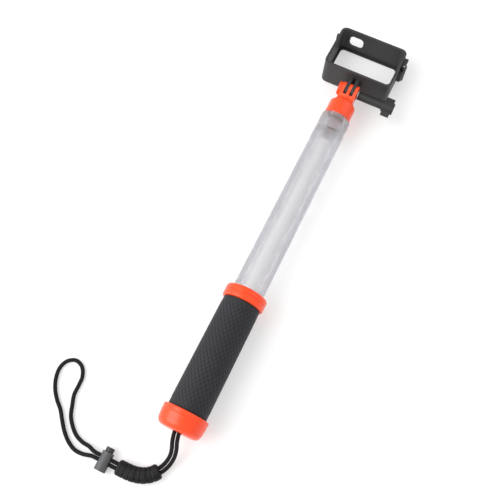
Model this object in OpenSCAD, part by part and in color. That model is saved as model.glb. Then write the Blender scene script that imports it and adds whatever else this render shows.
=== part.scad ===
// Telescopic selfie stick with a tilting action-camera cage and a wrist strap.
// Millimetres. +X runs along the stick from the strap end to the cage, +Z is up
// with the stick lying on a floor. The origin is on the stick's axis at the middle
// of the grip. The floor is at z = -cap_d / 2.

/* [Handle] */
// Length of the rubber grip
grip_len = 100; // [90:1:115]
// Outside diameter of the grip at its middle
grip_d = 34; // [33:0.2:35]
// Length of the end cap that shows behind the grip
cap_len = 17; // [17:0.5:20]
// Outside diameter of the end cap
cap_d = 40; // [39:0.5:41]
// Length of the collar in front of the grip
collar_len = 11; // [8:0.5:12]
// Outside diameter of the collar
collar_d = 37.5; // [36:0.5:38]

/* [Tubes] */
// Outside diameter of the fixed outer tube
outer_d = 28; // [27.8:0.1:28.4]
// Wall of the outer tube
outer_wall = 1.7; // [1.6:0.1:1.8]
// Outside diameter of the sliding inner tube
inner_d = 22; // [21.8:0.1:22.2]
// Wall of the inner tube
inner_wall = 1.5; // [1.4:0.1:1.8]
// Bare length of outer tube in front of the collar
outer_bare = 187.5; // [180:0.5:195]
// How far the inner tube slides out
travel = 245; // [240:0.5:245]

/* [Head] */
// Distance from the outer tube's mouth to the tilt pivot
head_len = 33.5; // [33:0.5:36]
// Thickness of each prong of the head
prong_t = 3; // [2.8:0.1:3.2]
// Radius of the prongs' round ends
prong_r = 7.5; // [7:0.1:8]
// Diameter of the clamp screw
screw_d = 4.9; // [4.8:0.05:4.95]
// Span of the thumbscrew's wings
wing_span = 20; // [16:0.5:22]

/* [Cage] */
// Width of the camera pocket
pocket_w = 62.8; // [60:0.2:66]
// Height of the camera pocket
pocket_h = 45.4; // [44:0.2:48]
// Depth of the cage from back to front
cage_depth = 26; // [24:0.5:28]
// Wall of the cage
cage_wall = 2.4; // [2.2:0.1:2.8]

/* [Strap] */
// Diameter of the braided cord
cord_d = 3.5; // [3:0.1:3.6]
// Width and height of the moulded strap sleeve
sleeve_size = [13, 10]; // [10:0.5:14]

/* [Hidden] */

// Clearances: bonded pieces, running fits and faces that pass each other
bond = 0.05;
run = 0.06;
gap = 0.3;
side_gap = 0.2;

// Stations along the axis
butt_x = -grip_len / 2 - cap_len;
grip_x0 = -grip_len / 2;
grip_x1 = grip_len / 2;
collar_x1 = grip_x1 + collar_len;
mouth_x = collar_x1 + outer_bare;
pivot_x = mouth_x + head_len;
floor_z = -cap_d / 2;

outer_id = outer_d - 2 * outer_wall;
inner_id = inner_d - 2 * inner_wall;

// End cap and butt plug
cap_edge_r = 8;
cap_rim_r = 1.2;
cap_bore_x = grip_x0 - 6;
knot_room_x = butt_x + 4.5;
knot_room_d = 14;
strap_hole_d = 8.4;
plug_flange_t = 1;
plug_len = 11;
plug_recess_d = 13;
plug_recess_len = 8;
knot_r = 5.5;
plug_x0 = cap_bore_x;
tube_x0 = plug_x0 + plug_flange_t;
plug_x1 = tube_x0 + plug_len;
seal_d = 1.3;
groove_w = 1.8;

// Guide bush in the outer tube's mouth
guide_len = 16;
guide_x0 = mouth_x - guide_len;
wiper_d = 1.2;

// Foot of the inner tube with its eccentric journal and clamping shoe
flange_t = 3;
flange_x1 = guide_x0 - travel - 0.5;
flange_x0 = flange_x1 - flange_t;
spigot_len = 15;
journal_len = 22.3;
journal_x0 = flange_x0 - journal_len;
journal_r = 8.1;
eccentric = 0.25;
shoe_bore_r = journal_r + 0.4;
shoe_slit = 2;
shoe_groove_d = 0.8;
keeper_d = 20;
keeper_t = 1;
keeper_screw_d = 2.9;
keeper_screw_len = 9;
keeper_head_d = 5.6;
keeper_head_len = 2.2;

// Head with three prongs
socket_len = 14;
socket_x0 = mouth_x + 0.5;
socket_x1 = socket_x0 + socket_len;
head_r = 12.5;
neck_r = 9;
neck_x = pivot_x - 13;
slot_w = prong_t + 2 * side_gap - 0.1;
finger_t = slot_w - 2 * side_gap;
finger_y = prong_t / 2 + side_gap + finger_t / 2;
block_w = 3 * prong_t + 2 * slot_w;
slot_x0 = pivot_x - prong_r - 0.8;
screw_hole_d = screw_d + 0.4;
boss_d = 13;
boss_len = 3.5;
nut_af = 8;
nut_t = 4;
nut_y0 = block_w / 2 + boss_len - nut_t;

// Thumbscrew on the head's -Y side
washer_d = 9.6;
washer_t = 1;
washer_y = -block_w / 2 - gap;
stem_y0 = washer_y - washer_t - 0.1;
stem_d = 8;
wing_y0 = -35;
wing_t = 8;
wing_w = 6.4;
hub_d = 11;
crown_t = 1.6;
screw_head_t = 3;

// Camera cage, drawn upright about the pivot and then leaned back until its
// top back edge meets the floor
cage_base_x = 11.5;
cage_in_x0 = cage_base_x + cage_wall;
cage_in_x1 = cage_in_x0 + pocket_h;
cage_top_x = cage_in_x1 + cage_wall;
cage_half_w = pocket_w / 2 + cage_wall;
cage_out_r = 6;
cage_in_r = cage_out_r - cage_wall;
lip = 2;
lip_t = 1.2;
cage_lean = asin(-floor_z / norm([cage_top_x, cage_depth / 2])) - atan2(cage_depth / 2, cage_top_x);
door_side_x = cage_top_x - 13.8;
door_end_x = cage_top_x - 8;
knuckle_r = 2.6;
knuckle_x = door_side_x - 2;
knuckle_y = -cage_half_w - knuckle_r - gap;
knuckle_half = 5;
knuckle_reach = 9;
pin_d = 2;
tab_len = 3;
shutter_y = 17;
shutter_size = [14, 13];

// Strap. Both strands follow pair_route side by side, outer strand first, and
// loop_route joins them beyond the cord lock.
strand_half_gap = 1.9;
pair_route = [[-57, 0, 0], [-67, 0, 0], [-74, -1.5, -1.5], [-80, -3.5, -6], [-86, -4, -11],
    [-93, -2.5, -14.5], [-99, 0.5, -15], [-104.5, 5, -15], [-108.5, 11.5, -15],
    [-110.5, 19, -15], [-111, 27, -15], [-111, 35, -15], [-111, 45, -15], [-111, 54.5, -15]];
loop_route = [[-115, 63, -17], [-115, 71, -18], [-111.5, 79, -18.2], [-106, 86, -18.2],
    [-99.5, 92, -18.2], [-92.5, 98, -18.2], [-86.5, 105, -18.2], [-79.5, 111, -18.2],
    [-71.5, 115, -18.2], [-63, 116.5, -18.2], [-55.5, 114, -18.2], [-51.5, 107.5, -18.2],
    [-54, 100, -18.2], [-61, 95.5, -18.2], [-69, 94.5, -18.2], [-77, 94, -18.2],
    [-85, 91, -18.2], [-93, 87.5, -18.2], [-99.5, 82, -18.2], [-104.5, 75.5, -18.2],
    [-107, 68, -17.5], [-107.5, 61, -16]];
sleeve_first = 6;
sleeve_last = 11;
cord_sides = 8;
sleeve_sides = 12;

// Spring-loaded cord lock across the two strands
lock_x = -111;
lock_y = 44;
lock_z = -15;
lock_d = 10;
lock_w = 12;
lock_bore_d = 7.4;
lock_end_x = lock_x - 9.4;
lock_mouth_x = lock_x + 6.4;
lock_cap_t = 1.4;
button_d = 7;
button_end_x = lock_x + 10.4;
button_stroke = 2;
button_x0 = lock_x - 5;
strand_slot = [8.2, 4.3];
spring_wire = 0.5;
spring_gap = 0.1;

function unit(v) = v / norm(v);
function left_of(d) = unit([-d[1], d[0], 0]);
function heading(p, i) = unit(p[min(i + 1, len(p) - 1)] - p[max(i - 1, 0)]);
function strand(p, side) = [for (i = [0:len(p) - 1])
    p[i] + side * strand_half_gap * left_of(heading(p, i))];
function reversed(p) = [for (i = [len(p) - 1:-1:0]) p[i]];
cord_route = concat(strand(pair_route, 1), loop_route, reversed(strand(pair_route, -1)));

// Rings of points around a route, each ring upright and square to the route
function ring_points(p, w, h, n) = [for (i = [0:len(p) - 1])
    let (d = heading(p, i), s = left_of(d), u = cross(d, s))
    for (k = [0:n - 1]) let (a = 360 * (k + 0.5) / n)
        p[i] + s * w / 2 * cos(a) + u * h / 2 * sin(a)];

module sweep(p, w, h, n)
{
    last = (len(p) - 1) * n;
    sides = [for (i = [0:len(p) - 2]) for (k = [0:n - 1])
        [i * n + k, (i + 1) * n + k, (i + 1) * n + (k + 1) % n, i * n + (k + 1) % n]];
    start = [for (k = [0:n - 1]) k];
    finish = [for (k = [n - 1:-1:0]) last + k];
    polyhedron(ring_points(p, w, h, n), concat([start], sides, [finish]), convexity = 10);
}

// Turns an outline whose x is the radius and whose y is the station along the stick
module lathe() rotate([0, 90, 0]) rotate_extrude($fn = 96) children();

module tube(x0, x1, d_out, d_in) lathe() translate([d_in / 2, x0]) square([(d_out - d_in) / 2, x1 - x0]);

module o_ring(x, r_mid, d) lathe() translate([r_mid, x]) circle(d = d, $fn = 32);

module rod_y(y0, y1, d, sides = 64) translate([0, y0, 0]) rotate([-90, 0, 0])
    cylinder(d = d, h = y1 - y0, $fn = sides);

module rounded_rect(size, r)
{
    square([size[0] - 2 * r, size[1]], center = true);
    square([size[0], size[1] - 2 * r], center = true);
    for (sx = [-1, 1]) for (sy = [-1, 1])
        translate([sx * (size[0] / 2 - r), sy * (size[1] / 2 - r)]) circle(r = r, $fn = 48);
}

module end_cap()
{
    color("orangered") difference()
    {
        lathe()
        {
            translate([0, butt_x]) square([cap_d / 2 - cap_edge_r, cap_len]);
            translate([0, butt_x + cap_edge_r]) square([cap_d / 2 - cap_rim_r, cap_len - cap_edge_r]);
            translate([0, butt_x + cap_edge_r])
                square([cap_d / 2, cap_len - cap_edge_r - cap_rim_r]);
            translate([cap_d / 2 - cap_rim_r, grip_x0 - cap_rim_r]) circle(r = cap_rim_r, $fn = 32);
            intersection()
            {
                translate([cap_d / 2 - cap_edge_r, butt_x + cap_edge_r])
                    circle(r = cap_edge_r, $fn = 64);
                translate([0, butt_x]) square([cap_d / 2, cap_edge_r]);
            }
        }
        tube(cap_bore_x, grip_x0 + 1, outer_d + 2 * bond, 0);
        tube(knot_room_x, cap_bore_x + 1, knot_room_d, 0);
        tube(butt_x - 1, knot_room_x + 1, strap_hole_d, 0);
    }
}

module butt_plug()
{
    plug_d = outer_id - 2 * bond;
    color("dimgray") difference()
    {
        union()
        {
            tube(plug_x0, tube_x0, outer_d, 0);
            tube(plug_x0, plug_x1, plug_d, 0);
        }
        tube(plug_x0 - 1, plug_x0 + plug_recess_len, plug_recess_d, 0);
        for (x = [tube_x0 + 3, tube_x0 + 7])
            tube(x - groove_w / 2, x + groove_w / 2, plug_d + 1, outer_id - 2 * seal_d - 0.1);
    }
}

module butt_seals()
{
    color("black") for (x = [tube_x0 + 3, tube_x0 + 7])
        o_ring(x, outer_id / 2 - seal_d / 2 - 0.02, seal_d);
}

module strap_knot() color("black") translate([butt_x + 10.5, 0, 0]) sphere(r = knot_r, $fn = 48);

module grip_sleeve()
{
    edge = 0.8;
    taper = 0.4;
    r0 = (grip_d + taper) / 2;
    r1 = (grip_d - taper) / 2;
    bore_r = outer_d / 2 + bond;
    color("darkslategray") lathe() polygon([[bore_r, grip_x0], [r0 - edge, grip_x0],
        [r0, grip_x0 + edge], [r1, grip_x1 - edge], [r1 - edge, grip_x1], [bore_r, grip_x1]]);
}

module grip_collar()
{
    round_r = 2;
    color("orangered") difference()
    {
        lathe()
        {
            translate([0, grip_x1]) square([collar_d / 2 - round_r, collar_len]);
            translate([0, grip_x1 + round_r]) square([collar_d / 2, collar_len - 2 * round_r]);
            for (x = [grip_x1 + round_r, collar_x1 - round_r])
                translate([collar_d / 2 - round_r, x]) circle(r = round_r, $fn = 48);
        }
        tube(grip_x1 - 1, collar_x1 + 1, outer_d + 2 * bond, 0);
    }
}

module outer_tube() color("lightgray", 0.5) tube(tube_x0, mouth_x, outer_d, outer_id);

module tube_guide()
{
    color("gainsboro") difference()
    {
        tube(guide_x0, mouth_x, outer_id - 2 * bond, inner_d + 2 * run);
        tube(mouth_x - 4 - groove_w / 2, mouth_x - 4 + groove_w / 2,
            inner_d + 2 * wiper_d, inner_d);
    }
}

module mouth_wiper()
{
    color("dimgray") tube(mouth_x - 4 - wiper_d / 2, mouth_x - 4 + wiper_d / 2,
        inner_d + 2 * wiper_d - 0.1, inner_d + run);
}

module lock_shoe()
{
    shoe_d = outer_id - 2 * 0.1;
    x0 = journal_x0 + gap;
    x1 = flange_x0 - gap;
    color("whitesmoke") difference()
    {
        tube(x0, x1, shoe_d, 0);
        translate([0, 0, eccentric]) tube(x0 - 1, x1 + 1, 2 * shoe_bore_r, 0);
        translate([x0 - 1, -shoe_slit / 2, 0]) cube([x1 - x0 + 2, shoe_slit, shoe_d]);
        for (k = [1:3])
            let (x = x0 + k * (x1 - x0) / 4)
                tube(x - 1, x + 1, shoe_d + 1, shoe_d - shoe_groove_d);
    }
}

module foot_plug()
{
    spigot_d = inner_id - 2 * bond;
    color("dimgray") difference()
    {
        union()
        {
            translate([0, 0, eccentric]) tube(journal_x0, flange_x0 + 1, 2 * journal_r, 0);
            tube(flange_x0, flange_x1, outer_id - 1, 0);
            tube(flange_x0, flange_x1 + spigot_len, spigot_d, 0);
        }
        tube(journal_x0 - 1, journal_x0 + keeper_screw_len + 1, keeper_screw_d + 2 * bond, 0);
        tube(flange_x1 + 7 - groove_w / 2, flange_x1 + 7 + groove_w / 2,
            spigot_d + 1, inner_id - 2 * seal_d - 0.1);
    }
}

module foot_seal() color("black") o_ring(flange_x1 + 7, inner_id / 2 - seal_d / 2 - 0.02, seal_d);

module shoe_washer()
{
    color("silver") tube(journal_x0 - keeper_t, journal_x0, keeper_d, keeper_screw_d + 2 * bond);
}

module shoe_screw()
{
    x0 = journal_x0 - keeper_t;
    color("silver")
    {
        tube(x0 - keeper_head_len, x0, keeper_head_d, 0);
        tube(x0 - 1, journal_x0 + keeper_screw_len, keeper_screw_d, 0);
    }
}

module inner_tube() color("lightgray", 0.5) tube(flange_x1, socket_x1 - 0.2, inner_d, inner_id);

module mast_head()
{
    color("orangered") difference()
    {
        union()
        {
            lathe() polygon([[0, socket_x0], [head_r - 0.8, socket_x0], [head_r, socket_x0 + 0.8],
                [head_r, socket_x1 + 1.5], [neck_r, neck_x], [0, neck_x]]);
            translate([pivot_x, block_w / 2, 0]) rotate([90, 0, 0]) linear_extrude(block_w)
            {
                circle(r = prong_r, $fn = 96);
                translate([socket_x1 - 4 - pivot_x, -prong_r]) square([pivot_x - socket_x1 + 4, 2 * prong_r]);
            }
            translate([pivot_x, 0, 0]) rod_y(0, block_w / 2 + boss_len, boss_d);
        }
        // Annular socket for the inner tube and the seal groove on its spigot
        tube(socket_x0 - 1, socket_x1, inner_d + 2 * bond, inner_id - 2 * bond);
        tube(socket_x0 - 1, socket_x1, inner_id - 5, 0);
        tube(socket_x0 + 5 - groove_w / 2, socket_x0 + 5 + groove_w / 2,
            inner_id, inner_id - 2 * seal_d - 0.1);
        // Two slots between the three prongs
        for (s = [-1, 1]) translate([slot_x0, s * (prong_t + slot_w) / 2 - slot_w / 2, -head_r])
            cube([2 * prong_r + 10, slot_w, 2 * head_r]);
        translate([pivot_x, 0, 0])
        {
            rod_y(-block_w, block_w, screw_hole_d);
            rod_y(nut_y0, block_w, (nut_af + 0.2) / cos(30), 6);
        }
    }
}

module head_seal() color("black") o_ring(socket_x0 + 5, inner_id / 2 - seal_d / 2 - 0.02, seal_d);

module clamp_nut()
{
    color("silver") translate([pivot_x, 0, 0]) difference()
    {
        rod_y(nut_y0, nut_y0 + nut_t, nut_af / cos(30), 6);
        rod_y(nut_y0 - 1, nut_y0 + nut_t + 1, screw_d + 2 * run);
    }
}

module screw_washer()
{
    color("silver") translate([pivot_x, 0, 0]) difference()
    {
        rod_y(washer_y - washer_t, washer_y, washer_d);
        rod_y(washer_y - washer_t - 1, washer_y + 1, screw_d + 2 * run);
    }
}

module screw_shank()
{
    color("silver") translate([pivot_x, 0, 0])
    {
        rod_y(wing_y0 - wing_t / 2, nut_y0 + nut_t, screw_d);
        rod_y(wing_y0 - wing_t / 2 - screw_head_t, wing_y0 - wing_t / 2 + 0.5, screw_d + 3, 6);
    }
}

module screw_knob()
{
    head_y = wing_y0 - wing_t / 2;
    color("black") translate([pivot_x, 0, 0]) difference()
    {
        union()
        {
            rod_y(wing_y0 + 0.5, stem_y0, stem_d);
            rod_y(wing_y0 - wing_t - crown_t, wing_y0 + 1.5, hub_d);
            translate([0, wing_y0, 0]) rotate([90, 0, 0]) linear_extrude(wing_t)
                rounded_rect([wing_span, wing_w], wing_w / 2 - 0.05);
        }
        rod_y(head_y - 1, stem_y0 + 1, screw_d + 2 * bond);
        rod_y(head_y - screw_head_t - bond, head_y + 0.5 + bond, screw_d + 3 + 2 * bond, 6);
    }
}

// Everything on the cage is drawn in its own upright frame: x up from the pivot,
// y across and z forward
module leaned() translate([pivot_x, 0, 0]) rotate([0, cage_lean, 0]) children();

module cage_ring(inset, z0, z1)
{
    mid_x = (cage_base_x + cage_top_x) / 2;
    translate([mid_x, 0, z0]) linear_extrude(z1 - z0) difference()
    {
        rounded_rect([cage_top_x - cage_base_x, 2 * cage_half_w], cage_out_r);
        rounded_rect([pocket_h - 2 * inset, pocket_w - 2 * inset], cage_in_r);
    }
}

// The part of the ring that belongs to the door, grown by a margin
module door_zone(margin)
{
    big = 100;
    translate([door_end_x - margin, -big / 2, -big / 2]) cube(big);
    translate([door_side_x - margin, -big, -big / 2]) cube(big);
}

module knuckle(z0, z1) translate([knuckle_x, knuckle_y, z0]) difference()
{
    cylinder(r = knuckle_r, h = z1 - z0, $fn = 48);
    translate([0, 0, -1]) cylinder(d = pin_d + 2 * run, h = z1 - z0 + 2, $fn = 32);
}

module pin_hole() translate([knuckle_x, knuckle_y, -cage_depth])
    cylinder(d = pin_d + 2 * run, h = 2 * cage_depth, $fn = 32);

module cage_frame()
{
    color("black") leaned()
    {
        difference()
        {
            union()
            {
                cage_ring(0, -cage_depth / 2, cage_depth / 2);
                cage_ring(lip, -cage_depth / 2, -cage_depth / 2 + lip_t);
            }
            door_zone(gap);
        }
        difference()
        {
            union()
            {
                knuckle(-knuckle_half, knuckle_half);
                translate([knuckle_x - 8, knuckle_y - 1, -knuckle_half])
                    cube([8, knuckle_r + gap + 1.1, 2 * knuckle_half]);
            }
            pin_hole();
        }
        // Two fingers that fit between the head's prongs
        for (s = [-1, 1]) difference()
        {
            translate([0, s * finger_y + finger_t / 2, 0]) rotate([90, 0, 0]) linear_extrude(finger_t)
            {
                circle(r = prong_r, $fn = 96);
                translate([0, -prong_r]) square([cage_base_x + 0.1, 2 * prong_r]);
            }
            rod_y(-block_w, block_w, screw_hole_d);
        }
    }
}

module cage_door()
{
    wall_y = cage_half_w + knuckle_y;
    color("black") leaned()
    {
        difference()
        {
            intersection()
            {
                union()
                {
                    cage_ring(0, -cage_depth / 2, cage_depth / 2);
                    cage_ring(lip, -cage_depth / 2, -cage_depth / 2 + lip_t);
                }
                door_zone(0);
            }
            translate([cage_top_x, shutter_y, 0]) rotate([0, 90, 0])
                linear_extrude(2 * cage_wall + 2, center = true) rounded_rect([shutter_size[1], shutter_size[0]], 4);
        }
        difference()
        {
            for (s = [-1, 1]) let (z0 = s > 0 ? knuckle_half + gap : -knuckle_reach)
            {
                knuckle(z0, z0 + knuckle_reach - knuckle_half - gap);
                translate([knuckle_x, knuckle_y - 1, z0])
                    cube([10, 1 - wall_y - 0.4, knuckle_reach - knuckle_half - gap]);
                translate([door_side_x + 0.2, knuckle_y - 1, z0])
                    cube([8, 1.1 - wall_y, knuckle_reach - knuckle_half - gap]);
            }
            pin_hole();
        }
        // Thumb tab on the free end
        translate([door_end_x + 0.5, cage_half_w - 0.6, -tab_len * 2])
            cube([tab_len, tab_len + 0.6, tab_len * 4]);
    }
}

module cage_hinge_pin()
{
    color("silver") leaned() translate([knuckle_x, knuckle_y, -knuckle_reach])
        cylinder(d = pin_d, h = 2 * knuckle_reach, $fn = 32);
}

module strap_cord() color("black") sweep(cord_route, cord_d, cord_d, cord_sides);

module strap_sleeve()
{
    stretch = [for (i = [sleeve_first:sleeve_last]) pair_route[i] - (i == sleeve_last ? [0, 2.5, 0] : [0, 0, 0])];
    color("black") sweep(stretch, sleeve_size[0], sleeve_size[1], sleeve_sides);
}

module lock_rod(x0, x1, d) translate([x0, lock_y, lock_z]) rotate([0, 90, 0])
    cylinder(d = d, h = x1 - x0, $fn = 64);

module cord_lock_body()
{
    color("gray") difference()
    {
        lock_rod(lock_end_x, lock_mouth_x, lock_d);
        lock_rod(lock_end_x + lock_cap_t, lock_mouth_x + 1, lock_bore_d);
        translate([lock_x, lock_y, lock_z]) cube([strand_slot[0], lock_w + 2, strand_slot[1]], center = true);
    }
}

module cord_lock_button()
{
    slot_x0 = lock_x - strand_slot[0] / 2;
    color("dimgray") difference()
    {
        lock_rod(button_x0 - 0.5, button_end_x, button_d);
        translate([slot_x0, lock_y - button_d, lock_z - strand_slot[1] / 2])
            cube([strand_slot[0] + button_stroke, 2 * button_d, strand_slot[1]]);
    }
}

module cord_lock_spring()
{
    x0 = lock_end_x + lock_cap_t + spring_gap;
    x1 = button_x0 - 0.5 - spring_gap;
    turns = 4;
    color("silver") translate([0, lock_y, lock_z]) for (k = [0:turns - 1])
        o_ring(x0 + spring_wire / 2 + k * (x1 - x0 - spring_wire) / (turns - 1),
            button_d / 2 - spring_wire - 0.2, spring_wire);
}

end_cap();
butt_plug();
butt_seals();
strap_knot();
grip_sleeve();
grip_collar();
outer_tube();
tube_guide();
mouth_wiper();
lock_shoe();
foot_plug();
foot_seal();
shoe_washer();
shoe_screw();
inner_tube();
mast_head();
head_seal();
clamp_nut();
screw_washer();
screw_shank();
screw_knob();
cage_frame();
cage_door();
cage_hinge_pin();
strap_cord();
strap_sleeve();
cord_lock_body();
cord_lock_button();
cord_lock_spring();
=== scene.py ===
# A telescopic selfie stick that lies on a pale floor: clear twist-lock tubes, a rubber
# grip between orange end cap and collar, an orange three-prong head that holds a tilting
# action-camera cage, and a braided wrist strap with a cord lock.
import math

import bmesh
import bpy
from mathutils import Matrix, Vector


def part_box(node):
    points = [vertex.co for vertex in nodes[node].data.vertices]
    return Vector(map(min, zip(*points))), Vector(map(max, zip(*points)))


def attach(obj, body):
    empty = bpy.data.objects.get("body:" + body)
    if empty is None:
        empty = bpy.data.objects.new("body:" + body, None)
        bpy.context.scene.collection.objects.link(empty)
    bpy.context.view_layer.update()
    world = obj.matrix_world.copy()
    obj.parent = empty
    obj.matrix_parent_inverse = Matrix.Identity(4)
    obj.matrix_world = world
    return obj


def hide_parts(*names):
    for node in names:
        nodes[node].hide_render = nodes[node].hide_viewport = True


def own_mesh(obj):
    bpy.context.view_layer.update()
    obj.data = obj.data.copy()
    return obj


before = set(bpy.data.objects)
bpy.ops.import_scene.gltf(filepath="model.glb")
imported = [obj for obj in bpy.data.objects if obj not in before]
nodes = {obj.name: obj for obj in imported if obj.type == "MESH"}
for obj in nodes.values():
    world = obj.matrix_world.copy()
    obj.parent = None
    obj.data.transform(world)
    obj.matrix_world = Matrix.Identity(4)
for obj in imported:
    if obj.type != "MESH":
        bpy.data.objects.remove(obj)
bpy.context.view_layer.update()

# ---- Studio -------------------------------------------------------------------------
# A pale floor under a large soft key light, a weak fill and a bright room, and a camera
# above the strap end that looks down along the stick, from lower left to upper right.
mm = 0.001
floor_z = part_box("end_cap")[0].z
look_heading = math.radians(25.93)
look_down = math.radians(70)
look_at = Vector((97.0, 15.2, 0)) * mm
look_distance = 605 * mm

look = Vector((
    math.cos(look_heading) * math.cos(look_down),
    math.sin(look_heading) * math.cos(look_down),
    -math.sin(look_down),
))
camera = bpy.data.objects.new("camera", bpy.data.cameras.new("camera"))
camera.data.lens = 50
camera.data.clip_start = 0.01
camera.location = look_at - look * look_distance
camera.rotation_euler = look.to_track_quat("-Z", "Y").to_euler()
bpy.context.scene.collection.objects.link(camera)
bpy.context.scene.camera = camera
bpy.context.scene.view_settings.view_transform = "Standard"


def soft_light(name, place, aim, size, power):
    lamp = bpy.data.lights.new(name, "AREA")
    lamp.size = size
    lamp.energy = power
    holder = bpy.data.objects.new(name, lamp)
    holder.location = place
    holder.rotation_euler = (Vector(aim) - Vector(place)).to_track_quat("-Z", "Y").to_euler()
    bpy.context.scene.collection.objects.link(holder)


soft_light("key_light", place=(-0.5, 1.0, 1.1), aim=(0.1, 0, 0), size=1.5, power=26)
soft_light("fill_light", place=(0.9, -0.9, 1.0), aim=(0.1, 0, 0), size=1.2, power=3)

room = bpy.data.worlds.new("room")
room.use_nodes = True
room.node_tree.nodes["Background"].inputs["Color"].default_value = (1, 1, 1, 1)
room.node_tree.nodes["Background"].inputs["Strength"].default_value = 0.75
bpy.context.scene.world = room


# ---- Shader values ------------------------------------------------------------------
# Each finish below is a shader with its own sums and patterns. A value wraps one node
# output, so that an expression on it adds the Math nodes it needs.
class Value:
    def __init__(self, finish, socket):
        self.finish = finish
        self.socket = socket

    def math(self, operation, *terms):
        return self.finish.node("Math", {"operation": operation}, dict(enumerate(terms)))

    def __add__(self, other):
        return self.math("ADD", self, other)

    def __radd__(self, other):
        return self.math("ADD", other, self)

    def __sub__(self, other):
        return self.math("SUBTRACT", self, other)

    def __rsub__(self, other):
        return self.math("SUBTRACT", other, self)

    def __mul__(self, other):
        return self.math("MULTIPLY", self, other)

    def __rmul__(self, other):
        return self.math("MULTIPLY", other, self)

    def __truediv__(self, other):
        return self.math("DIVIDE", self, other)

    def __abs__(self):
        return self.math("ABSOLUTE", self)

    def sine(self):
        return self.math("SINE", self)

    def fraction(self):
        return self.math("FRACT", self)

    def whole(self):
        return self.math("FLOOR", self)

    def over(self, level):
        return self.math("GREATER_THAN", self, level)

    def ramp(self, low, high):
        """0 at low, 1 at high and beyond, smooth between them."""
        return self.finish.node(
            "MapRange",
            {"interpolation_type": "SMOOTHSTEP"},
            {"Value": self, "From Min": low, "From Max": high},
        )


class Finish:
    def __init__(self, name, **sockets):
        self.material = bpy.data.materials.new(name)
        self.material.use_nodes = True
        self.tree = self.material.node_tree
        self.shader = self.tree.nodes["Principled BSDF"]
        for socket, value in sockets.items():
            self.shader.inputs[socket.replace("_", " ")].default_value = value

    def node(self, kind, settings, inputs, out=0):
        made = self.tree.nodes.new("ShaderNode" + kind)
        for key, value in settings.items():
            setattr(made, key, value)
        for key, value in inputs.items():
            self.feed(made.inputs[key], value)
        return Value(self, made.outputs[out])

    def feed(self, socket, value):
        if isinstance(value, Value):
            self.tree.links.new(value.socket, socket)
        else:
            socket.default_value = value

    def give(self, socket, value):
        self.feed(self.shader.inputs[socket], value)

    def place(self):
        """The point on the piece, in the object's own metres."""
        return self.node("TexCoord", {}, {}, "Object")

    def surface(self, axis):
        """The piece's own surface coordinate: U runs round it and V along it."""
        unwrapped = self.node("UVMap", {"uv_map": "surface"}, {})
        return self.node("SeparateXYZ", {}, {0: unwrapped}, axis)

    def stretched(self, scale):
        """The point on the piece, with its own scale on each axis."""
        return self.node("Mapping", {}, {"Vector": self.place(), "Scale": scale})

    def noise(self, scale, detail=3.0, rough=0.5, at=None):
        """Noise with scale patches to the metre, between 0 and 1."""
        return self.node(
            "TexNoise",
            {},
            {"Vector": at or self.place(), "Scale": scale, "Detail": detail, "Roughness": rough},
        )

    def blend(self, factor, first, second):
        """A colour between first and second; the colours are linear red, green and blue."""
        first_socket, second_socket, colour_out = 6, 7, 2
        ends = [c if isinstance(c, Value) else (*c, 1) for c in (first, second)]
        sockets = {0: factor, first_socket: ends[0], second_socket: ends[1]}
        return self.node("Mix", {"data_type": "RGBA"}, sockets, colour_out)

    def bump(self, height, distance, strength=1.0):
        relief = self.node(
            "Bump", {}, {"Height": height, "Distance": distance, "Strength": strength}
        )
        self.give("Normal", relief)

    def edges(self, low, high):
        """1 on convex edges and 0 on flats, from how sharply the surface turns."""
        return self.node("NewGeometry", {}, {}, "Pointiness").ramp(low, high)


# The floor glows a little, as a light table does, so that shadows on it stay faint
floor_half_width = 3
floor_gap = 0.1 * mm
floor_finish = Finish("studio_floor", Roughness=0.9, Emission_Color=(0.95, 0.95, 0.95, 1),
    Emission_Strength=0.44)
floor_tone = floor_finish.noise(6, 2)
floor_finish.give("Base Color",
    floor_finish.blend(floor_tone, (0.56, 0.56, 0.56), (0.58, 0.58, 0.58)))
floor_mesh = bmesh.new()
bmesh.ops.create_grid(floor_mesh, x_segments=2, y_segments=2, size=floor_half_width)
bmesh.ops.translate(floor_mesh, verts=floor_mesh.verts, vec=(0, 0, floor_z - floor_gap))
floor_data = bpy.data.meshes.new("floor")
floor_mesh.to_mesh(floor_data)
floor = bpy.data.objects.new("floor", floor_data)
floor.data.materials.append(floor_finish.material)
bpy.context.scene.collection.objects.link(floor)

# ---- Wrist strap cord ---------------------------------------------------------------
# One length of black 3.5 mm polyester braid. Both ends are knotted inside the end cap;
# the two strands leave by its hole, run side by side through the sleeve and the cord
# lock, and open into the wrist loop. Sixteen yarns cross over and under round a core.
cord_d = 3.5 * mm
strand_half_gap = 1.9 * mm
seam_gap = 0.001 * mm
pair_route = [(-57, 0, 0), (-67, 0, 0), (-74, -1.5, -1.5), (-80, -3.5, -6), (-86, -4, -11),
    (-93, -2.5, -14.5), (-99, 0.5, -15), (-104.5, 5, -15), (-108.5, 11.5, -15),
    (-110.5, 19, -15), (-111, 27, -15), (-111, 35, -15), (-111, 45, -15), (-111, 54.5, -15)]
loop_route = [(-115, 63, -17), (-115, 71, -18), (-111.5, 79, -18.2), (-106, 86, -18.2),
    (-99.5, 92, -18.2), (-92.5, 98, -18.2), (-86.5, 105, -18.2), (-79.5, 111, -18.2),
    (-71.5, 115, -18.2), (-63, 116.5, -18.2), (-55.5, 114, -18.2), (-51.5, 107.5, -18.2),
    (-54, 100, -18.2), (-61, 95.5, -18.2), (-69, 94.5, -18.2), (-77, 94, -18.2),
    (-85, 91, -18.2), (-93, 87.5, -18.2), (-99.5, 82, -18.2), (-104.5, 75.5, -18.2),
    (-107, 68, -17.5), (-107.5, 61, -16)]


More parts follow.
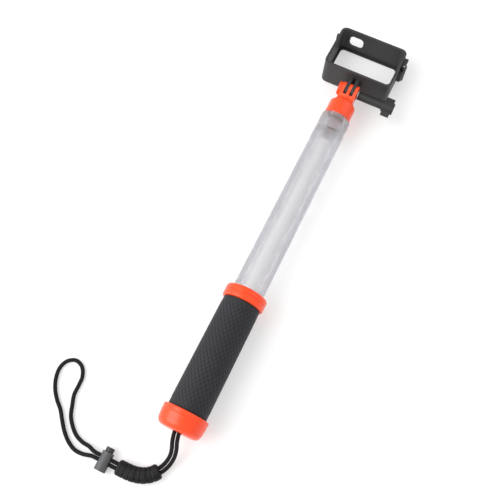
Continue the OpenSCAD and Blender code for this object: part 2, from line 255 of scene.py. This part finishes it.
def heading(route, i):
    return (route[min(i + 1, len(route) - 1)] - route[max(i - 1, 0)]).normalized()


def left_of(direction):
    return Vector((-direction.y, direction.x, 0)).normalized()


def strand(route, side):
    return [p + left_of(heading(route, i)) * side * strand_half_gap for i, p in enumerate(route)]


def smooth_line(route, step):
    """Points a step apart on the smooth curve through the route's points."""
    line = []
    for i in range(len(route) - 1):
        a, b = route[i], route[i + 1]
        before = route[max(i - 1, 0)]
        after = route[min(i + 2, len(route) - 1)]
        pieces = max(2, round((b - a).length / step))
        for k in range(pieces):
            t = k / pieces
            line.append(0.5 * (
                2 * a + (b - before) * t + (2 * before - 5 * a + 4 * b - after) * t**2
                + (3 * a - before - 3 * b + after) * t**3
            ))
    return line + [route[-1]]


def line_length(line):
    return sum((b - a).length for a, b in zip(line, line[1:]))


def skin_along(name, line, around, shape, bore=None):
    """A closed skin round a line. shape gives the offset to the left and up from the line, at a
    share of a turn and a distance along. The surface map holds the share and the metres. A skin
    with a bore has a straight hole of that radius along the X axis."""
    skin = bmesh.new()
    bmesh.ops.create_grid(skin, x_segments=around, y_segments=len(line) - 1, size=0.5)
    surface = skin.loops.layers.uv.new("surface")
    runs = [0.0]
    for a, b in zip(line, line[1:]):
        runs.append(runs[-1] + (b - a).length)
    for face in skin.faces:
        for loop in face.loops:
            row = round((loop.vert.co.y + 0.5) * (len(line) - 1))
            loop[surface].uv = (loop.vert.co.x + 0.5, runs[row])
    for vert in skin.verts:
        turn = vert.co.x + 0.5
        row = round((vert.co.y + 0.5) * (len(line) - 1))
        ahead = heading(line, row)
        left = left_of(ahead)
        across, rise = shape(turn, runs[row])
        vert.co = line[row] + left * across + ahead.cross(left) * rise
    bmesh.ops.remove_doubles(skin, verts=skin.verts, dist=seam_gap)
    rims = [e for e in skin.edges if e.is_boundary]
    if bore:
        lips = bmesh.ops.extrude_edge_only(skin, edges=rims)["geom"]
        for lip in lips:
            if isinstance(lip, bmesh.types.BMVert):
                lip.co.yz = lip.co.yz.normalized() * bore
        bmesh.ops.bridge_loops(skin, edges=[e for e in skin.edges if e.is_boundary])
    else:
        bmesh.ops.holes_fill(skin, edges=rims, sides=0)
    bmesh.ops.recalc_face_normals(skin, faces=skin.faces)
    return as_piece(name, skin)


def as_piece(name, mesh, sharp=40):
    """The finished bmesh as an object, smooth except where faces meet sharper than sharp."""
    for face in mesh.faces:
        face.smooth = True
    for edge in mesh.edges:
        edge.smooth = len(edge.link_faces) != 2 or edge.calc_face_angle(0) < math.radians(sharp)
    data = bpy.data.meshes.new(name)
    mesh.to_mesh(data)
    mesh.free()
    piece = bpy.data.objects.new(name, data)
    bpy.context.scene.collection.objects.link(piece)
    return piece


def fit_out(piece, finish, body, slot, *stands_for):
    """Gives a piece its finish, its CAD body and the CAD nodes it stands for; slot is not used."""
    piece.data.materials.clear()
    piece.data.materials.append(finish.material)
    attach(piece, body)
    if stands_for:
        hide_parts(*stands_for)
    return piece


pair_line = [Vector(p) * mm for p in pair_route]
cord_route = (
    strand(pair_line, 1) + [Vector(p) * mm for p in loop_route] + strand(pair_line, -1)[::-1]
)
cord_ring_gap = 0.28 * mm
cord_around = 40
cord_line = smooth_line(cord_route, cord_ring_gap)
cord_length = line_length(cord_line)
yarns = 8
yarn_fibres = 7
yarn_lay = 11.5 * mm
yarn_rise = 0.2 * mm


def braid(turn, run):
    p = math.sin(math.pi * yarns * (turn + run / yarn_lay))
    q = math.sin(math.pi * yarns * (turn - run / yarn_lay))
    radius = cord_d / 2 - yarn_rise + yarn_rise * math.sqrt(abs(p * q))
    return radius * math.cos(math.tau * turn), radius * math.sin(math.tau * turn)


cord_finish = Finish("strap_braid", Specular_IOR_Level=0.2, Sheen_Weight=0.06,
    Sheen_Roughness=0.5)
yarn_u = cord_finish.surface("X")
yarn_v = cord_finish.surface("Y") / yarn_lay
right_yarn = (yarn_u + yarn_v) * yarns
left_yarn = (yarn_u - yarn_v) * yarns
# The braid's colour is painted darker between the yarns: painted shade in the hollows. The same
# mask flattens the fibre bump there.
hollow_shade = (abs((right_yarn * math.pi).sine()) * abs((left_yarn * math.pi).sine())).ramp(0, 0.35)
# Which of the two crossing yarns is on top alternates from one diamond to the next
on_top = ((right_yarn.whole() + left_yarn.whole()) * 0.5).fraction().over(0.25)
fibres = (right_yarn * on_top + left_yarn * (1 - on_top)) * (yarn_fibres * math.tau)
fibre_lines = fibres.sine() * 0.5 + 0.5
dust = cord_finish.noise(900, 4)
# The tone is the painted shade in the hollows, times the fibre lines and the dust.
cord_tone = hollow_shade * (fibre_lines * 0.35 + dust * 0.65)
cord_finish.give("Base Color",
    cord_finish.blend(cord_tone, (0.002, 0.002, 0.0025), (0.02, 0.02, 0.024)))
cord_finish.give("Roughness", 0.9 - fibre_lines * 0.25)
cord_finish.bump(fibre_lines * hollow_shade, 0.05 * mm, 0.8)

strap_cord = skin_along("strap_cord_braid", cord_line, cord_around, braid)
fit_out(strap_cord, cord_finish, "handle", "strap_braid", "strap_cord")

# ---- Strap sleeve -------------------------------------------------------------------
# A soft black rubber moulding over both strands, which keeps them together at the wrist.
# It is oval, with rounded ends and a few shallow grooves that let it bend.
sleeve_half_w = 6.5 * mm
sleeve_half_h = 4.9 * mm
sleeve_end = 2.2 * mm
sleeve_end_fullness = 0.62
sleeve_squareness = 0.85
groove_pitch = 4.4 * mm
groove_depth = 0.45 * mm
groove_width = 0.9 * mm
smooth_end = 1.5 * sleeve_end
sleeve_ring_gap = 0.35 * mm
sleeve_around = 48
sleeve_first, sleeve_last = 6, 11
short_of_last = Vector((0, 2.5, 0)) * mm
sleeve_line = smooth_line(
    pair_line[sleeve_first:sleeve_last] + [pair_line[sleeve_last] - short_of_last],
    sleeve_ring_gap,
)
sleeve_length = line_length(sleeve_line)


def sleeve_shape(turn, run):
    from_end = min(run, sleeve_length - run)
    rounding = math.sqrt(1 - (1 - min(from_end / sleeve_end, 1)) ** 2)
    fullness = sleeve_end_fullness + (1 - sleeve_end_fullness) * rounding
    groove = abs((run / groove_pitch) % 1 - 0.5) * groove_pitch
    if from_end > smooth_end and groove < groove_width / 2:
        fullness -= groove_depth / sleeve_half_h * math.cos(math.pi * groove / groove_width)
    angle = math.tau * turn
    across = math.copysign(abs(math.cos(angle)) ** sleeve_squareness, math.cos(angle))
    rise = math.copysign(abs(math.sin(angle)) ** sleeve_squareness, math.sin(angle))
    return sleeve_half_w * fullness * across, sleeve_half_h * fullness * rise


strap_rubber = Finish("strap_rubber", Specular_IOR_Level=0.25)
rubber_grain = strap_rubber.noise(1500, 4)
rubber_dust = strap_rubber.noise(180, 5).ramp(0.45, 0.75)
strap_rubber.give("Base Color",
    strap_rubber.blend(rubber_dust, (0.004, 0.004, 0.0045), (0.013, 0.013, 0.014)))
strap_rubber.give("Roughness", 0.48 + rubber_dust * 0.25)
strap_rubber.bump(rubber_grain, 0.03 * mm, 0.6)
fit_out(skin_along("strap_sleeve_moulding", sleeve_line, sleeve_around, sleeve_shape),
    strap_rubber, "handle", "strap_rubber", "strap_sleeve")


# ---- Cord lock ----------------------------------------------------------------------
# A spring cord lock in dark grey nylon: a small barrel with a slot for both strands, and
# a button in its mouth. A coil spring in the barrel pushes the button out, which pinches
# the strands. The barrel and button are moulded, so their edges are softly rounded.
def softened(name, node, width, segments=3, sharp=30):
    """A copy of a CAD node whose loose triangles are welded and whose edges are rounded."""
    weld_gap = 0.002 * mm
    flat_within = math.radians(0.5)
    mesh = bmesh.new()
    mesh.from_mesh(nodes[node].data)
    bmesh.ops.remove_doubles(mesh, verts=mesh.verts, dist=weld_gap)
    bmesh.ops.dissolve_limit(mesh, angle_limit=flat_within, verts=mesh.verts, edges=mesh.edges)
    piece = as_piece(name, mesh, sharp=sharp)
    rounding = piece.modifiers.new("rounded_edges", "BEVEL")
    rounding.width = width
    rounding.segments = segments
    rounding.limit_method = "ANGLE"
    rounding.angle_limit = math.radians(sharp)
    rounding.harden_normals = True
    rounding.use_clamp_overlap = False
    rounding.loop_slide = False
    return piece


def moulded(name, low, high, rough, grain=1800, relief=0.02):
    """Injection-moulded plastic: slight colour drift, a fine spark-eroded grain and
    edges that have been polished lighter by handling."""
    plastic = Finish(name)
    drift = plastic.noise(70, 3)
    rubbed = plastic.edges(0.52, 0.6) * plastic.noise(400, 4).ramp(0.35, 0.7)
    tone = plastic.blend(drift, low, high)
    plastic.give("Base Color", plastic.blend(rubbed * 0.35, tone, tuple(2.2 * c for c in high)))
    plastic.give("Roughness", rough + 0.12 * plastic.noise(250, 4) - rubbed * 0.15)
    plastic.bump(plastic.noise(grain, 3), relief * mm, 0.7)
    return plastic


lock_plastic = moulded(
    "lock_plastic", (0.065, 0.066, 0.069), (0.085, 0.087, 0.09), rough=0.42
)
button_plastic = moulded(
    "button_plastic", (0.02, 0.02, 0.021), (0.03, 0.03, 0.031), rough=0.42
)
fit_out(softened("cord_lock_barrel", "cord_lock_body", 0.2 * mm),
    lock_plastic, "cord_lock", "lock_plastic", "cord_lock_body")
fit_out(softened("cord_lock_plunger", "cord_lock_button", 0.15 * mm),
    button_plastic, "cord_lock_button", "lock_plastic", "cord_lock_button")

# The spring is wound from round wire: one helix from the barrel's end to the button
wire_d = 0.5 * mm
spring_low, spring_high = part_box("cord_lock_spring")
spring_mid = (spring_low + spring_high) / 2
coil_r = (spring_high.y - spring_low.y) / 2 - wire_d / 2
coil_turns = 3
coil_steps = 24
spring_curve = bpy.data.curves.new("coil_path", "CURVE")
spring_curve.dimensions = "3D"
spring_curve.bevel_depth = wire_d / 2
spring_curve.bevel_resolution = 3
spring_curve.use_fill_caps = True
coil = spring_curve.splines.new("POLY")
coil.points.add(coil_turns * coil_steps)
coil_run = spring_high.x - spring_low.x - wire_d
for k, point in enumerate(coil.points):
    angle = math.tau * k / coil_steps
    station = spring_low.x + wire_d / 2 + coil_run * k / (coil_turns * coil_steps)
    point.co = (station, spring_mid.y + coil_r * math.cos(angle),
        spring_mid.z + coil_r * math.sin(angle), 1)
spring_mesh = bmesh.new()
spring_mesh.from_mesh(bpy.data.objects.new("coil_path", spring_curve).to_mesh())
bmesh.ops.remove_doubles(spring_mesh, verts=spring_mesh.verts, dist=seam_gap)
bmesh.ops.recalc_face_normals(spring_mesh, faces=spring_mesh.faces)
spring_coil = as_piece("cord_lock_coil", spring_mesh)


def turned_steel(name, rough, tint=(0.62, 0.62, 0.63)):
    """Zinc-plated or stainless steel: fine tool marks, and a little dulling in patches."""
    steel = Finish(name, Metallic=1.0)
    marks = steel.noise(1, 4, 0.6, steel.stretched((600, 6000, 600)))
    patches = steel.noise(220, 4).ramp(0.4, 0.75)
    steel.give("Base Color", steel.blend(patches, tint, tuple(0.72 * c for c in tint)))
    steel.give("Roughness", rough + patches * 0.18 + marks * 0.08)
    steel.bump(marks, 0.01 * mm, 0.6)
    return steel


steel_finish = turned_steel("plated_steel", rough=0.26)
spring_steel = turned_steel("spring_steel", rough=0.22, tint=(0.5, 0.5, 0.5))
fit_out(spring_coil, spring_steel, "cord_lock", "steel", "cord_lock_spring")
path_every = 4
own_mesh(spring_coil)

# Every fourth point of the strap's line, and its last, are gathered, but the list is not used
cord_line[::path_every] + [cord_line[-1]]


# ---- Handle -------------------------------------------------------------------------
# The end cap and the collar are turned shapes in glossy orange ABS, moulded with soft
# edges. The cap is a rounded dome with the strap's hole at its centre, and both are
# bonded over the outer tube at the two ends of the grip.
def rounded(corners, steps=6):
    """An outline of (station, radius, rounding) corners, each with its own round."""
    outline = []
    for i, (x, r, fillet) in enumerate(corners):
        here = Vector((x, r))
        to_last = Vector(corners[i - 1][:2]) - here
        to_next = Vector(corners[(i + 1) % len(corners)][:2]) - here
        if fillet == 0:
            outline.append(here)
            continue
        half = to_last.angle(to_next) / 2
        reach = min(fillet / math.tan(half), to_last.length * 0.49, to_next.length * 0.49)
        a = here + to_last.normalized() * reach
        b = here + to_next.normalized() * reach
        for k in range(steps + 1):
            t = k / steps
            outline.append((1 - t) ** 2 * a + 2 * t * (1 - t) * here + t**2 * b)
    return outline


def turned(name, outline, around=128):
    """A closed outline of (station, radius) points, turned round the stick's axis."""
    mesh = bmesh.new()
    ring = [mesh.verts.new((p[0], 0, p[1])) for p in outline]
    edges = [mesh.edges.new((ring[i], ring[(i + 1) % len(ring)])) for i in range(len(ring))]
    bmesh.ops.spin(
        mesh, geom=ring + edges, axis=(1, 0, 0), cent=(0, 0, 0),
        angle=math.tau, steps=around, use_merge=True,
    )
    bmesh.ops.remove_doubles(mesh, verts=mesh.verts, dist=seam_gap)
    bmesh.ops.recalc_face_normals(mesh, faces=mesh.faces)
    return as_piece(name, mesh, sharp=50)


orange = Finish("orange_plastic", Specular_IOR_Level=0.42, Coat_Weight=0.12,
    Coat_Roughness=0.2, Subsurface_Weight=0.05, Subsurface_Scale=0.002)
flow = orange.noise(45, 4, 0.6)
scuffs = orange.noise(1, 5, 0.7, orange.stretched((900, 160, 160))).ramp(0.55, 0.72)
worn = orange.edges(0.515, 0.56) * orange.noise(500, 4).ramp(0.4, 0.65)
orange_body = orange.blend(flow, (0.92, 0.05, 0.004), (0.96, 0.074, 0.01))
orange.give("Base Color", orange.blend(worn * 0.3 + scuffs * 0.06, orange_body, (1.0, 0.32, 0.16)))
orange.give("Roughness", 0.27 + 0.1 * flow + 0.18 * scuffs + 0.1 * worn)
orange.bump(orange.noise(1300, 3) + scuffs * 0.6, 0.018 * mm, 0.6)

cap_low, cap_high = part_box("end_cap")
cap_r = cap_high.z
cap_dome_r = cap_r - 1.2 * mm
cap_dome_round = 8.2 * mm
hole_r = 4.2 * mm
knot_room_x = cap_low.x + 4.5 * mm
knot_room_r = 7 * mm
cap_bore_x = cap_high.x - 6 * mm
cap_line_x = cap_high.x - 3.3 * mm
cap_line_r = cap_r - 0.35 * mm
tube_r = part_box("outer_tube")[1].z
bore_r = tube_r + 0.05 * mm
cap_outline = rounded([
    (cap_low.x, hole_r, 0.9 * mm), (cap_low.x, cap_dome_r, cap_dome_round),
    (cap_line_x - 1.3 * mm, cap_r, 1.2 * mm), (cap_line_x - 0.9 * mm, cap_line_r, 0.3 * mm),
    (cap_line_x - 0.4 * mm, cap_line_r, 0.3 * mm), (cap_line_x, cap_r, 0.4 * mm),
    (cap_high.x, cap_r, 1.2 * mm), (cap_high.x, bore_r, 0.4 * mm), (cap_bore_x, bore_r, 0),
    (cap_bore_x, knot_room_r, 0.3 * mm), (knot_room_x, knot_room_r, 0.4 * mm),
    (knot_room_x, hole_r, 0.5 * mm),
], steps=10)
fit_out(turned("end_cap_shell", cap_outline, around=160),
    orange, "handle", "orange_plastic", "end_cap")

collar_low, collar_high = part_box("grip_collar")
collar_r = collar_high.z
waist_x = (collar_low.x + collar_high.x) / 2
waist_r = collar_r - 0.4 * mm
collar_outline = rounded([
    (collar_low.x, bore_r, 0.3 * mm), (collar_low.x, collar_r, 2 * mm),
    (waist_x - 0.6 * mm, collar_r, 0.3 * mm), (waist_x - 0.3 * mm, waist_r, 0.2 * mm),
    (waist_x + 0.3 * mm, waist_r, 0.2 * mm), (waist_x + 0.6 * mm, collar_r, 0.3 * mm),
    (collar_high.x, collar_r, 2.2 * mm), (collar_high.x, bore_r, 0.5 * mm),
], steps=8)
fit_out(turned("grip_collar_ring", collar_outline, around=160),
    orange, "handle", "orange_plastic", "grip_collar")

# ---- Grip ---------------------------------------------------------------------------
# A sleeve of charcoal rubber, stretched over the tube and bonded. Its middle is covered
# in low rounded diamonds in crossing rows, between two smooth bands, and it tapers a
# little towards the collar.
grip_low, grip_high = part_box("grip_sleeve")
grip_r = grip_high.z
grip_taper = 0.4 * mm
diamonds_round = 26
diamond_len = 5.2 * mm
diamond_rise = 0.42 * mm
diamond_crown = 1.35
smooth_band = 5 * mm
band_fade = 1.2 * mm
band_drop = 0.15 * mm
grip_edge = 0.9 * mm
grip_around = 12 * diamonds_round
grip_rings = 260
grip_length = grip_high.x - grip_low.x
grip_line = [
    Vector((grip_low.x + grip_length * k / grip_rings, 0, 0)) for k in range(grip_rings + 1)
]


def grip_shape(turn, run):
    from_end = min(run, grip_length - run)
    across = math.cos(math.pi * (diamonds_round * turn + run / diamond_len))
    along = math.cos(math.pi * (diamonds_round * turn - run / diamond_len))
    swell = min(1, math.sqrt(abs(across * along)) * diamond_crown)
    fade = min(max((from_end - smooth_band) / band_fade, 0), 1)
    radius = grip_r - grip_taper * run / grip_length - band_drop * (1 - fade)
    radius -= diamond_rise * (1 - swell) * fade
    edge = max(1 - from_end / grip_edge, 0)
    radius -= grip_edge * (1 - math.sqrt(1 - edge**2))
    return radius * math.cos(math.tau * turn), radius * math.sin(math.tau * turn)


grip_rubber = Finish("grip_rubber", Specular_IOR_Level=0.3, Sheen_Weight=0.05,
    Sheen_Roughness=0.4)
round_u = grip_rubber.surface("X") * diamonds_round
along_v = grip_rubber.surface("Y") / diamond_len
crossing = abs(((round_u + along_v) * math.pi + math.pi / 2).sine())
crossing = crossing * abs(((round_u - along_v) * math.pi + math.pi / 2).sine())
# The valleys between the diamonds are painted darker, as painted shade in the recesses, and are
# made a little rougher.
valley_shade = 1 - crossing.ramp(0.02, 0.3)
bloom = grip_rubber.noise(90, 5, 0.6).ramp(0.4, 0.75)
rubber_body = grip_rubber.blend(bloom, (0.019, 0.0195, 0.023), (0.032, 0.0325, 0.038))
# The rubber's colour carries the painted shade in the valleys.
grip_rubber.give("Base Color",
    grip_rubber.blend(valley_shade * 0.55, rubber_body, (0.006, 0.006, 0.007)))
grip_rubber.give("Roughness", 0.58 + bloom * 0.2 + valley_shade * 0.1)
grip_rubber.bump(grip_rubber.noise(1400, 4), 0.03 * mm, 0.7)
fit_out(skin_along("grip_knurled_sleeve", grip_line, grip_around, grip_shape, bore_r),
    grip_rubber, "handle", "grip_rubber", "grip_sleeve")


# ---- Tubes --------------------------------------------------------------------------
# Two clear polycarbonate tubes, one sliding in the other. Both are extruded, so they have
# faint draw lines along them, and the sliding has left hair-fine scratches.
def clear_plastic(name, tint, rim_shade_tint):
    clear = Finish(name, Transmission_Weight=1.0, IOR=1.45)
    # Towards each tube's outline, where the surface turns away, the colour is painted a dark
    # bluish grey as painted shade along the edges, and the surface there is made less see-through.
    shaded_rim = clear.node("LayerWeight", {}, {"Blend": 0.5}, "Facing").ramp(0.08, 0.6)
    draw_lines = clear.noise(1, 3, 0.6, clear.stretched((5, 900, 900)))
    scratches = clear.noise(1, 5, 0.7, clear.stretched((60, 2500, 2500))).ramp(0.6, 0.7)
    wall = clear.blend(draw_lines * 0.4, tint, tuple(0.97 * c for c in tint))
    clear.give("Base Color", clear.blend(shaded_rim, wall, rim_shade_tint))
    clear.give("Roughness", 0.05 + draw_lines * 0.04 + scratches * 0.2)
    clear.give("Alpha", 0.12 + shaded_rim * 0.62 + scratches * 0.06)
    clear.bump(draw_lines, 0.001 * mm, 0.3)
    return clear


def tube(name, low, high, wall, edge=0.4 * mm):
    bore = high.z - wall
    outline = rounded([
        (low.x, bore, edge), (low.x, high.z, edge), (high.x, high.z, edge), (high.x, bore, edge),
    ])
    return turned(name, outline, around=160)


outer_wall = 1.7 * mm
inner_wall = 1.5 * mm
# Each tube's last colour is its painted edge shade.
outer_clear = clear_plastic("clear_outer_tube", (0.975, 0.965, 1.0), (0.37, 0.365, 0.44))
inner_clear = clear_plastic("clear_inner_tube", (0.975, 0.965, 1.0), (0.34, 0.335, 0.41))
fit_out(tube("outer_tube_clear", *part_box("outer_tube"), outer_wall),
    outer_clear, "handle", "clear_tube", "outer_tube")
fit_out(tube("inner_tube_clear", *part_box("inner_tube"), inner_wall),
    inner_clear, "mast", "clear_tube", "inner_tube")

# The guide in the outer tube's mouth is translucent nylon, turned with a grease groove
natural_nylon = Finish("natural_nylon", Transmission_Weight=0.75, IOR=1.4)
clouding = natural_nylon.noise(160, 4)
natural_nylon.give("Base Color",
    natural_nylon.blend(clouding, (0.93, 0.93, 0.95), (0.97, 0.97, 0.98)))
natural_nylon.give("Roughness", 0.4 + clouding * 0.2)
natural_nylon.give("Alpha", 0.55 + clouding * 0.2)
natural_nylon.bump(natural_nylon.noise(1200), 0.02 * mm, 0.6)
guide_low, guide_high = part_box("tube_guide")
guide_r = guide_high.z
guide_bore = guide_r - 1.19 * mm
grease_r = guide_r - 0.4 * mm
guide_x = (guide_low.x + guide_high.x) / 2
guide_outline = rounded([
    (guide_low.x, guide_bore, 0.3 * mm), (guide_low.x, guide_r, 0.5 * mm),
    (guide_x - 2 * mm, guide_r, 0.3 * mm), (guide_x - 1.5 * mm, grease_r, 0.3 * mm),
    (guide_x + 1.5 * mm, grease_r, 0.3 * mm), (guide_x + 2 * mm, guide_r, 0.3 * mm),
    (guide_high.x, guide_r, 0.3 * mm), (guide_high.x, guide_bore, 0.3 * mm),
])
fit_out(turned("mouth_guide_ring", guide_outline),
    natural_nylon, "handle", "natural_nylon", "tube_guide")


# ---- Twist lock ---------------------------------------------------------------------
# The inner tube's foot carries a split nylon shoe on a journal turned off centre. A
# quarter turn of the tube swells the shoe against the outer tube, which locks the length.
def keep(node, finish):
    """Gives a CAD node, whose shape is already right, its finish."""
    for slot in nodes[node].material_slots:
        slot.material = finish.material


black_nylon = moulded(
    "black_nylon", (0.018, 0.018, 0.019), (0.028, 0.028, 0.029), rough=0.38
)
seal_rubber = moulded(
    "seal_rubber", (0.012, 0.012, 0.013), (0.02, 0.02, 0.021), rough=0.5, grain=2500
)
fit_out(softened("split_lock_shoe", "lock_shoe", 0.15 * mm),
    natural_nylon, "lock_shoe", "natural_nylon", "lock_shoe")
fit_out(softened("eccentric_foot", "foot_plug", 0.2 * mm),
    black_nylon, "mast", "black_nylon", "foot_plug")
keep("shoe_washer", steel_finish)
keep("shoe_screw", steel_finish)
keep("foot_seal", seal_rubber)
keep("head_seal", seal_rubber)
keep("mouth_wiper", seal_rubber)

# ---- Butt plug and strap knot -------------------------------------------------------
# Inside the end cap, the strap's two ends are tied in one hard knot. A nylon plug with
# two rubber rings seals the outer tube against water.
knot_braid = Finish("knotted_braid")
knot_wraps = knot_braid.node(
    "TexWave", {"bands_direction": "DIAGONAL"},
    {"Vector": knot_braid.place(), "Scale": 90.0, "Distortion": 3.0}, "Fac")
knot_braid.give("Base Color",
    knot_braid.blend(knot_wraps, (0.004, 0.004, 0.005), (0.025, 0.025, 0.028)))
knot_braid.give("Roughness", 0.7 + knot_wraps * 0.2)
knot_braid.bump(knot_wraps, 0.2 * mm)
keep("strap_knot", knot_braid)
keep("butt_plug", black_nylon)
keep("butt_seals", seal_rubber)

# ---- Head ---------------------------------------------------------------------------
# The orange three-prong head is moulded in one, bonded over the inner tube's end. Its
# nut is trapped in a hexagonal boss, opposite the thumbscrew.
fit_out(softened("three_prong_head", "mast_head", 0.25 * mm),
    orange, "mast", "orange_plastic", "mast_head")
fit_out(softened("trapped_nut", "clamp_nut", 0.25 * mm),
    steel_finish, "mast", "steel", "clamp_nut")
fit_out(softened("screw_thrust_washer", "screw_washer", 0.2 * mm),
    steel_finish, "screw_washer", "steel", "screw_washer")

# ---- Thumbscrew ---------------------------------------------------------------------
# A steel screw with a rolled thread, moulded into a black winged knob on a long stem. It
# squeezes the head's three prongs on the cage's two fingers, through a thrust washer.
knob_plastic = moulded(
    "knob_plastic", (0.012, 0.012, 0.0125), (0.02, 0.02, 0.021), rough=0.4
)
fit_out(softened("winged_knob", "screw_knob", 0.35 * mm, segments=4),
    knob_plastic, "thumbscrew", "knob_plastic", "screw_knob")
shank_low, shank_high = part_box("screw_shank")
screw_x = (shank_low.x + shank_high.x) / 2
thread_r = 2.45 * mm
thread_pitch = 0.8 * mm
thread_depth = 0.4 * mm
thread_flat = 0.1
thread_fade = 0.3 * mm
thread_rings = 400
thread_around = 40
thread_length = shank_high.y - shank_low.y
shank_line = [
    Vector((screw_x, shank_high.y - thread_length * k / thread_rings, 0))
    for k in range(thread_rings + 1)
]


def thread(turn, run):
    from_crest = abs((run / thread_pitch + turn) % 1 - 0.5) * 2
    flank = min(1, max(0, (from_crest - thread_flat) / (1 - 2 * thread_flat)))
    fade = min(1, run / thread_pitch, (thread_length - run) / thread_pitch)
    radius = thread_r - thread_depth * flank
    radius -= thread_fade * (1 - fade)
    return radius * math.cos(math.tau * turn), radius * math.sin(math.tau * turn)


fit_out(skin_along("threaded_shank", shank_line, thread_around, thread),
    steel_finish, "thumbscrew", "steel", "screw_shank")

# ---- Camera cage --------------------------------------------------------------------
# A frame of glass-filled black nylon that an action camera snaps into. Its door turns on
# a steel pin at one side, and a thumb tab on the free end opens it.
cage_plastic = moulded(
    "cage_plastic", (0.022, 0.022, 0.023), (0.034, 0.034, 0.035),
    rough=0.48, grain=1500, relief=0.04,
)
fit_out(softened("cage_body", "cage_frame", 0.25 * mm),
    cage_plastic, "cage", "cage_plastic", "cage_frame")
fit_out(softened("cage_hinged_door", "cage_door", 0.2 * mm),
    cage_plastic, "cage_door", "cage_plastic", "cage_door")
keep("cage_hinge_pin", steel_finish)
